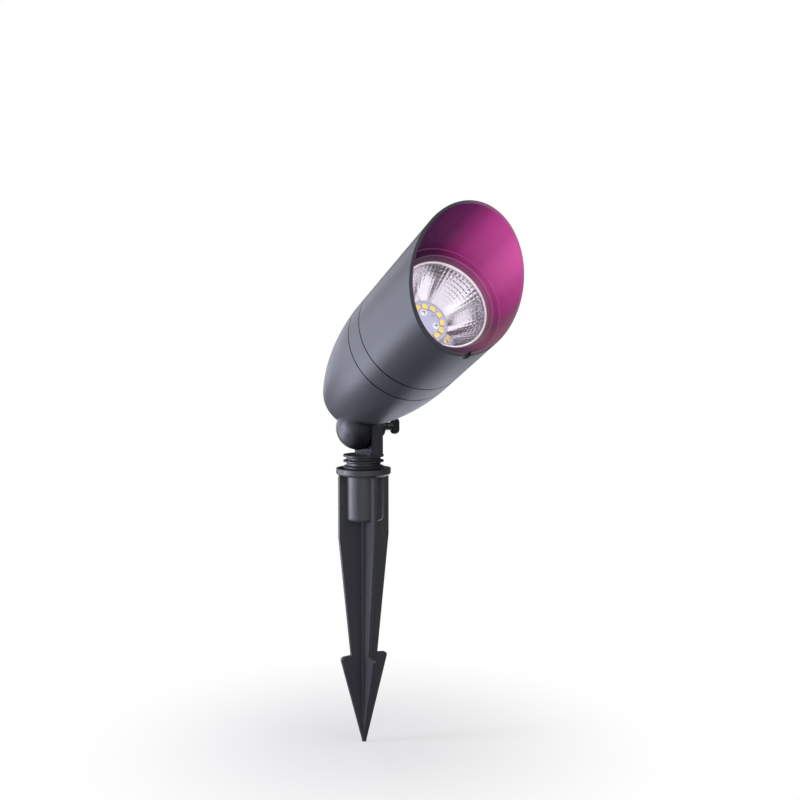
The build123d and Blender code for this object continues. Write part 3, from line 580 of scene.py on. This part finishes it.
# the stem bracket's coat, darkened as painted shade
stem_coat_painted_shade = powder_coat("stem_coat_painted_shade", SHADED_STEM_COAT)
spike_plastic = moulded_plastic(
    "spike_plastic", (0.060, 0.061, 0.070), roughness=0.37, edge_radius=0.3 * MM
)
grip_plastic = moulded_plastic("grip_plastic", (0.018, 0.018, 0.019), roughness=0.30)
black_plastic = moulded_plastic("black_plastic", (0.03, 0.03, 0.032), roughness=0.45)
white_plastic = moulded_plastic("white_plastic", (0.75, 0.75, 0.72), roughness=0.4)
red_sleeve = moulded_plastic("red_sleeve", (0.5, 0.06, 0.04), roughness=0.4)
winding_tape = moulded_plastic("winding_tape", (0.7, 0.55, 0.15), roughness=0.35)
steel = turned_metal("steel", (0.62, 0.62, 0.62), roughness=0.26)
# painted light: the screw heads glow to look brightly lit
screw_metal = turned_metal(
    "screw_metal", (0.88, 0.90, 0.87), roughness=0.42, metallic=0.5, painted_glow=0.55
)
# painted shade: a darker metal for the screws' sunk cross
cross_shade = turned_metal("cross_shade", (0.22, 0.22, 0.24), roughness=0.5)
brass = turned_metal("brass_metal", (0.72, 0.52, 0.24), roughness=0.25)
can_metal = turned_metal("can_metal", (0.6, 0.6, 0.62), roughness=0.3)
mirror = mirror_coat("mirror_coat", (0.925, 0.895, 0.95), roughness=0.06)
# painted light: the reflector's lip glows to look brightly lit
lip_metal = mirror_coat("lip_metal", (0.96, 0.94, 0.97), roughness=0.38, painted_glow=0.45)
solder = mirror_coat("solder_metal", (0.80, 0.78, 0.84), roughness=0.30)
rubber = soft_rubber("seal_rubber_black", (0.02, 0.02, 0.021))
pad_grey = soft_rubber("pad_grey", (0.35, 0.36, 0.38))
glass = clear_glass()
# painted light: the board glows a little to look lit
white_board = board_lacquer("white_board", (0.62, 0.66, 0.88), painted_glow=0.36)
green_board = board_lacquer("green_board", (0.03, 0.16, 0.07))
# painted light: the chip bodies glow faintly to look lit
chip_resin = board_lacquer("chip_resin", (0.52, 0.44, 0.50), painted_glow=0.15)
phosphor_gel = phosphor()
keeper = keeper_surface()

slot_materials = {
    "head_coating": coat,
    "spike_plastic": spike_plastic,
    "grip_plastic": grip_plastic,
    "screw_steel": steel,
    "insert_brass": brass,
    "seal_rubber": rubber,
    "clear_glass": glass,
    "bright_reflector": mirror,
    "ring_plastic": keeper,
    "board_white": white_board,
    "chip_yellow": phosphor_gel,
    "pad_rubber": pad_grey,
    "case_plastic": black_plastic,
    "board_green": green_board,
    "transformer_tape": winding_tape,
    "capacitor_can": can_metal,
    "terminal_plastic": white_plastic,
    "lead_sleeve": red_sleeve,
    "gland_plastic": black_plastic,
}

for part in frame["record"]["subparts"]:
    node = nodes[part["node"]]
    node.data.materials.clear()
    node.data.materials.append(slot_materials[part["material_slot"]])
nodes["hood_barrel"].data.materials[0] = hood_coat
nodes["stem_bracket"].data.materials[0] = stem_coat_painted_shade
# the gasket takes the keeper's surface, painted glow and all
nodes["glass_gasket"].data.materials[0] = keeper

# ---------------------------------------------------------------- faceted reflector
# A bowl turned about the head's axis and covered with small pillows that get finer towards
# the lamp board. The rolled lip, flange and back follow the CAD bowl.
BOWL_START = 0.3 * MM  # ahead of the board's front
BOWL_DEPTH = 18.3 * MM
BOWL_MOUTH = BOWL_START + BOWL_DEPTH
BOWL_FLOOR_RADIUS = 10.4 * MM
BOWL_MOUTH_RADIUS = 21.2 * MM
BOWL_BULGE = 1.0 * MM
BOWL_WALL = 0.9 * MM
BOWL_LIP = 0.6 * MM
LIP_STEP = 0.05 * MM  # small step outwards from the last pillows to the rolled lip
LIP_TURNS = (20, 50, 80, 110, 140, 170)  # degrees round the rolled lip
FLANGE_RADIUS = 23.5 * MM
FLANGE_THICKNESS = 0.9 * MM
KEEPER_THICKNESS = 0.8 * MM
BACK_SHARES = (0.9, 0.7, 0.5, 0.3, 0.0)  # of the bowl's depth, for the rings of its back
PILLOWS = 60
PILLOW_ROWS = 10
PILLOWS_FROM = 0.02  # shares of the bowl's depth between which the pillows lie
PILLOWS_TO = 0.957
ROW_GROWTH = 1.07  # each row is this much deeper than the one nearer the board
STEPS = 5  # mesh steps across one pillow
BOWL_STEPS = PILLOWS * STEPS
PILLOW_RELIEF = 0.24 * MM  # at the mouth, and less towards the board
RELIEF_FALL = 2.0  # power of the depth's share that the relief goes by
SAME_PLACE = 1e-7  # points closer together than this become one


def round_hump(u):
    """0 at both ends, 1 in the middle."""
    return 4 * u * (1 - u)


def bowl_radius(share):
    """The bowl's inner radius at a share of its depth."""
    straight = BOWL_FLOOR_RADIUS + (BOWL_MOUTH_RADIUS - BOWL_FLOOR_RADIUS) * share
    return straight + BOWL_BULGE * round_hump(share)


def row_share(row):
    """Share of the bowl's depth at a pillow row's edge; rows may be given in parts."""
    grown = (ROW_GROWTH**row - 1) / (ROW_GROWTH**PILLOW_ROWS - 1)
    return PILLOWS_FROM + (PILLOWS_TO - PILLOWS_FROM) * grown


def bowl_ring(radius, forward, relief=0.0):
    """A ring about the head's axis, drawn in by the relief in the middle of each pillow."""
    ring = []
    for i in range(BOWL_STEPS):
        angle = 2 * pi * i / BOWL_STEPS
        r = radius - relief * round_hump(i / STEPS % 1)
        ring.append(on_head(r * cos(angle), r * sin(angle), forward))
    return ring


def pillowed_rings():
    """The bowl's inside, from its floor to the last row of pillows."""
    rings = [bowl_ring(bowl_radius(0), BOWL_START)]
    for step in range(PILLOW_ROWS * STEPS + 1):
        row = step / STEPS
        share = row_share(row)
        relief = PILLOW_RELIEF * share**RELIEF_FALL * round_hump(row % 1)
        rings.append(bowl_ring(bowl_radius(share), BOWL_START + BOWL_DEPTH * share, relief))
    return rings


def lip_rings():
    """The rolled lip, from the last pillows to the foot of its outer side."""
    edge = bowl_radius(PILLOWS_TO)
    outer = BOWL_MOUTH_RADIUS + BOWL_LIP
    half = (outer - edge) / 2
    rings = [bowl_ring(edge + LIP_STEP, BOWL_START + BOWL_DEPTH * PILLOWS_TO)]
    for degrees in LIP_TURNS:
        turn = radians(degrees)
        radius = edge + half - half * cos(turn)
        rings.append(bowl_ring(radius, BOWL_MOUTH - half * (1 - sin(turn))))
    rings.append(bowl_ring(outer, BOWL_MOUTH - KEEPER_THICKNESS))
    return rings


def back_rings():
    """The flange under the keeper ring and the bowl's back, down to its floor."""
    flange_front = BOWL_MOUTH - KEEPER_THICKNESS
    flange_back = flange_front - FLANGE_THICKNESS
    rings = [bowl_ring(FLANGE_RADIUS, flange_front), bowl_ring(FLANGE_RADIUS, flange_back)]
    for share in BACK_SHARES:
        rings.append(bowl_ring(bowl_radius(share) + BOWL_WALL, BOWL_START + BOWL_DEPTH * share))
    return rings


def make_reflector():
    """The whole bowl as one closed skin, with the lip and flange front in a second material."""
    made = bmesh.new()
    bowl = pillowed_rings()
    lip = lip_rings()
    _, faces = ring_grid(made, bowl + lip + back_rings() + bowl[:1])
    for number, face in enumerate(faces):
        band = number // BOWL_STEPS
        face.smooth = True
        face.material_index = int(len(bowl) <= band < len(bowl) + len(lip))
    bmesh.ops.remove_doubles(made, verts=made.verts, dist=SAME_PLACE)
    return made


reflector = new_piece(
    "reflector_facets", make_reflector(), "head", [mirror, lip_metal]
)
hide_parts("reflector")

# ---------------------------------------------------------------- lamp chips
CHIP_COUNT = 12
CHIP_CIRCLE = 7.9 * MM
CHIP_START = radians(85.5)
CHIP_RADIAL = 2.8 * MM
CHIP_ACROSS = 3.3 * MM
CHIP_HEIGHT = 0.7 * MM
CHIP_EDGE = 0.1 * MM  # width of the slanted outer edge, and of the pocket's slanted wall
CHIP_CORNER = 0.35 * MM
CHIP_TOP_CORNER = 0.3 * MM
GEL_MARGIN = 0.16 * MM  # from the chip's outline to the foot of the pocket's wall
GEL_CORNER = 0.5 * MM
POCKET_DEPTH = 0.15 * MM
GEL_GAP = 0.02 * MM  # between the gel and the pocket's wall
GEL_FOOT_DROP = 0.14 * MM  # the gel's heights are given as drops from the chip's top
GEL_SIDE_DROP = 0.04 * MM
GEL_TOP_DROP = 0.01 * MM
GEL_TOP_INSET = 0.3 * MM
GEL_TOP_CORNER = 0.4 * MM
CORNER_STEPS = 4

# Each loop of a chip is an inset from its outline, a height and a corner radius.
CHIP_BODY = (
    (0.0, 0.0, CHIP_CORNER),
    (0.0, CHIP_HEIGHT - CHIP_EDGE, CHIP_CORNER),
    (CHIP_EDGE, CHIP_HEIGHT, CHIP_TOP_CORNER),
    (GEL_MARGIN - CHIP_EDGE, CHIP_HEIGHT, GEL_CORNER),
    (GEL_MARGIN, CHIP_HEIGHT - POCKET_DEPTH, GEL_CORNER),
)
CHIP_GEL = (
    (GEL_MARGIN + GEL_GAP, CHIP_HEIGHT - GEL_FOOT_DROP, GEL_CORNER),
    (GEL_MARGIN + GEL_GAP, CHIP_HEIGHT - GEL_SIDE_DROP, GEL_CORNER),
    (GEL_MARGIN + GEL_TOP_INSET, CHIP_HEIGHT - GEL_TOP_DROP, GEL_TOP_CORNER),
)


def rounded_rectangle(size_x, size_y, corner):
    """Points of a rounded rectangle, counter-clockwise."""
    points = []
    for quarter in range(4):
        middle_x = (size_x / 2 - corner) * (1, -1, -1, 1)[quarter]
        middle_y = (size_y / 2 - corner) * (1, 1, -1, -1)[quarter]
        for step in range(CORNER_STEPS + 1):
            angle = pi / 2 * (quarter + step / CORNER_STEPS)
            points.append((middle_x + corner * cos(angle), middle_y + corner * sin(angle)))
    return points


def chip_loop(angle, inset, height, corner):
    """A rounded rectangle on the board, turned to face outwards at a place on the chip circle."""
    loop = []
    for x, y in rounded_rectangle(CHIP_RADIAL - 2 * inset, CHIP_ACROSS - 2 * inset, corner):
        out = CHIP_CIRCLE + x
        right = out * cos(angle) - y * sin(angle)
        up = out * sin(angle) + y * cos(angle)
        loop.append(on_head(right, up, height))
    return loop


def make_chips(profile):
    """One closed stack of loops for every chip on the circle."""
    made = bmesh.new()
    for i in range(CHIP_COUNT):
        angle = CHIP_START + 2 * pi * i / CHIP_COUNT
        capped_stack(made, [chip_loop(angle, *loop) for loop in profile])
    return made


chip_bodies = new_piece(
    "led_chip_bodies", make_chips(CHIP_BODY), "head", [chip_resin]
)
new_piece("led_chip_gel", make_chips(CHIP_GEL), "head", [phosphor_gel])
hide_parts("led_chips")

# ---------------------------------------------------------------- board screws and solder joints
SCREW_CIRCLE = 4.9 * MM
SCREW_ANGLES = (-25.0, 95.0, 215.0)
SCREW_HEAD_RADIUS = 1.6 * MM
SCREW_HEAD = 0.9 * MM
SCREW_HEAD_EDGE = 0.35 * MM
SCREW_RADIUS = 0.8 * MM
SCREW_DEPTH = 3.7 * MM
SCREW_STEPS = 64
CROSS_REACH = 1.0 * MM
CROSS_HALF_WIDTH = 0.22 * MM
CROSS_DEPTH = 0.5 * MM
LEAD_ANGLES = (35.0, 155.0)
SOLDER_RADIUS = 0.95 * MM
SOLDER_HEIGHT = 0.45 * MM
SOLDER_STEPS = 32
DOME_STEPS = 12
DOME_STEPS_TO_MIDDLE = 12.2  # so the last ring stops short of the middle and a face closes it


def in_cross(x, y):
    """Whether a point of a screw's head, from its middle, lies in the driver's cross."""
    return min(abs(x), abs(y)) < CROSS_HALF_WIDTH and max(abs(x), abs(y)) < CROSS_REACH


def board_ring(middle, radius, height, count, cross=False):
    """A ring round a place on the board, sunk where it crosses the driver's cross."""
    ring = []
    for i in range(count):
        angle = 2 * pi * i / count
        x, y = radius * cos(angle), radius * sin(angle)
        sunk = CROSS_DEPTH if cross and in_cross(x, y) else 0.0
        ring.append(on_head(middle[0] + x, middle[1] + y, height - sunk))
    return ring


def dome_rings(middle, radius, height, edge, count, cross=False):
    """Rings of a low dome, from the top of its upright edge to near the middle of its top."""
    rings = [board_ring(middle, radius, edge, count)]
    for step in range(1, DOME_STEPS + 1):
        r = radius * (1 - step / DOME_STEPS_TO_MIDDLE)
        top = edge + (height - edge) * (1 - (r / radius) ** 2)
        rings.append(board_ring(middle, r, top, count, cross))
    return rings


def on_circle(degrees):
    """A place on the circle of screws and leads, right and up from the board's middle."""
    return SCREW_CIRCLE * cos(radians(degrees)), SCREW_CIRCLE * sin(radians(degrees))


def make_board_screws():
    """Three pan-head screws with a sunk cross, whose faces take the second material, a darker metal as painted
    shade.
    """
    made = bmesh.new()
    for degrees in SCREW_ANGLES:
        middle = on_circle(degrees)
        rings = [
            board_ring(middle, SCREW_RADIUS, -SCREW_DEPTH, SCREW_STEPS),
            board_ring(middle, SCREW_RADIUS, 0.0, SCREW_STEPS),
            board_ring(middle, SCREW_HEAD_RADIUS, 0.0, SCREW_STEPS),
        ]
        rings += dome_rings(
            middle, SCREW_HEAD_RADIUS, SCREW_HEAD, SCREW_HEAD_EDGE, SCREW_STEPS, cross=True
        )
        for face in capped_stack(made, rings):
            offset = face.calc_center_median() - board_top
            x, y = offset.dot(across) - middle[0], offset.dot(lift) - middle[1]
            face.material_index = int(in_cross(x, y))
    return made


def make_solder():
    """A smooth bead of solder over each lead."""
    made = bmesh.new()
    for degrees in LEAD_ANGLES:
        rings = dome_rings(on_circle(degrees), SOLDER_RADIUS, SOLDER_HEIGHT, 0.0, SOLDER_STEPS)
        for face in capped_stack(made, rings):
            face.smooth = True
    return made


screws = new_piece(
    "board_screw_heads", make_board_screws(), "head", [screw_metal, cross_shade]
)
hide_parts("board_screws")
new_piece("lead_solder", make_solder(), "head", [solder])

# ---------------------------------------------------------------- floor, world, lamps and camera
WHITE = (1, 1, 1)
COOL = (0.86, 0.88, 1.0)
FLOOR_SIZE = 12.0
FLOOR_PAPER = (0.90, 0.90, 0.90)
FLOOR_LIGHT = (0.20, 0.20, 0.22)  # what the floor sends back to the object
SHADOW_REACH = 0.17  # past this distance from the spike's tip the floor reads as plain white
SHADOW_WHITE = 0.5  # the share of plain white in the floor right under the tip
AMBIENT = 0.07  # the world's strength as light


def floor_material():
    """Paper that the camera sees as white but for the shadow, and the object as a mid grey."""
    m = Nodes("floor_paper")
    seen = m.add("ShaderNodeLightPath").outputs["Is Camera Ray"]
    m.set(Base_Color=m.mix(seen, FLOOR_LIGHT, m.varied(FLOOR_PAPER, spread=0.01, scale=3.0)))
    m.roughen(m.noise(scale=40.0), smooth=0.75, rough=0.85)
    white = m.add("ShaderNodeEmission")
    white.inputs["Color"].default_value = with_alpha(WHITE)
    distance = m.vector("LENGTH", m.object_coords)
    share = m.times(m.fade(distance, 0.0, SHADOW_REACH, SHADOW_WHITE, 1.0), seen)
    blend = m.add("ShaderNodeMixShader")
    m.join(share, blend.inputs["Fac"])
    m.join(m.shader.outputs["BSDF"], blend.inputs[1])
    m.join(white.outputs["Emission"], blend.inputs[2])
    m.join(blend.outputs["Shader"], m.output.inputs["Surface"])
    return m.material


def make_floor():
    """A large square level with the spike's tip."""
    made = bmesh.new()
    bmesh.ops.create_grid(made, x_segments=1, y_segments=1, size=FLOOR_SIZE / 2)
    mesh = bpy.data.meshes.new("floor")
    made.to_mesh(mesh)
    made.free()
    floor = bpy.data.objects.new("floor", mesh)
    floor.location = (0, 0, ground)
    scene.collection.objects.link(floor)
    mesh.materials.append(floor_material())


def make_world():
    """White to the camera and through glass, and a dim soft white to every other ray."""
    world = bpy.data.worlds.new("studio")
    scene.world = world
    world.use_nodes = True
    tree = world.node_tree
    background = tree.nodes["Background"]
    background.inputs["Color"].default_value = with_alpha(WHITE)
    path = tree.nodes.new("ShaderNodeLightPath")
    seen = tree.nodes.new("ShaderNodeMath")
    seen.operation = "MAXIMUM"
    tree.links.new(path.outputs["Is Camera Ray"], seen.inputs[0])
    tree.links.new(path.outputs["Is Transmission Ray"], seen.inputs[1])
    strength = tree.nodes.new("ShaderNodeMapRange")
    tree.links.new(seen.outputs[0], strength.inputs["Value"])
    strength.inputs["To Min"].default_value = AMBIENT
    strength.inputs["To Max"].default_value = 1.0
    tree.links.new(strength.outputs["Result"], background.inputs["Strength"])


def soft_lamp(name, place, target, size, power, colour=WHITE):
    """A rectangular lamp at a place, turned to its target and hidden from the camera."""
    light = bpy.data.lights.new(name, "AREA")
    light.shape = "RECTANGLE"
    light.size, light.size_y = size
    light.energy = power
    light.color = colour
    lamp = bpy.data.objects.new(name, light)
    lamp.location = place
    lamp.rotation_euler = (Vector(target) - Vector(place)).to_track_quat("-Z", "Y").to_euler()
    lamp.visible_camera = False
    scene.collection.objects.link(lamp)


FLOOR_LAMP_HEIGHT = -0.135  # just over the floor
FLOOR_LAMP_TARGET = 0.5  # any height above the lamp would do


def floor_lamp(name, x, y, side, power, colour=WHITE):
    """A square lamp that lies near the floor and shines straight up."""
    place, target = (x, y, FLOOR_LAMP_HEIGHT), (x, y, FLOOR_LAMP_TARGET)
    soft_lamp(name, place, target, (side, side), power, colour)


CAMERA_PLACE = Vector((-0.26324, -0.55041, 0.08041))
CAMERA_TURN = -27.3423  # degrees from straight along +Y; negative is to the right
CAMERA_DIP = 3.8904  # degrees below the horizontal
CAMERA_LENS = 53.094
SENSOR_WIDTH = 36.0
NEAREST_SEEN = 0.01
FARTHEST_SEEN = 50.0


def make_camera():
    """The camera as fitted to the photograph."""
    data = bpy.data.cameras.new("camera")
    data.lens = CAMERA_LENS
    data.sensor_width = SENSOR_WIDTH
    data.clip_start = NEAREST_SEEN
    data.clip_end = FARTHEST_SEEN
    camera = bpy.data.objects.new("camera", data)
    camera.location = CAMERA_PLACE
    camera.rotation_euler = (radians(90 - CAMERA_DIP), 0, radians(CAMERA_TURN))
    scene.collection.objects.link(camera)
    scene.camera = camera


make_floor()
make_world()
MIDDLE = (0, -0.05, 0.05)  # the three places that the lamps are turned to
HEAD = (0, -0.07, 0.13)
HEAD_FRONT = (0, -0.08, 0.09)
soft_lamp("left_back", (-0.33, 0.40, 0.01), MIDDLE, size=(0.30, 0.40), power=1.08, colour=COOL)
soft_lamp("back", (-0.03, 0.64, 0.16), MIDDLE, size=(0.30, 0.40), power=0.72, colour=COOL)
floor_lamp("near_floor", 0.15, 0.12, side=0.18, power=0.22, colour=COOL)
floor_lamp("far_floor", 0.38, 0.36, side=0.30, power=0.60, colour=COOL)
floor_lamp("left_floor", -0.28, 0.24, side=0.24, power=1.00, colour=COOL)
soft_lamp("left_strip", (-0.55, 0.17, 0.0), MIDDLE, size=(0.12, 0.50), power=3.1, colour=COOL)
soft_lamp("left_low", (-0.60, -0.05, -0.02), MIDDLE, size=(0.3, 0.24), power=1.0, colour=COOL)
soft_lamp("front_high", (0.25, -0.62, 0.74), HEAD_FRONT, size=(1.2, 1.4), power=5.5)
soft_lamp("front_left", (-0.45, -0.82, 0.22), HEAD, size=(0.4, 0.70), power=1.10)
floor_lamp("front_floor", -0.10, -0.45, side=0.30, power=0.23)
soft_lamp("front_low", (0.0, -0.85, 0.02), HEAD, size=(0.5, 0.25), power=0.40)
soft_lamp("front_right", (0.49, -0.92, 0.34), HEAD, size=(0.35, 0.30), power=0.35)
make_camera()
scene.view_settings.view_transform = "Standard"
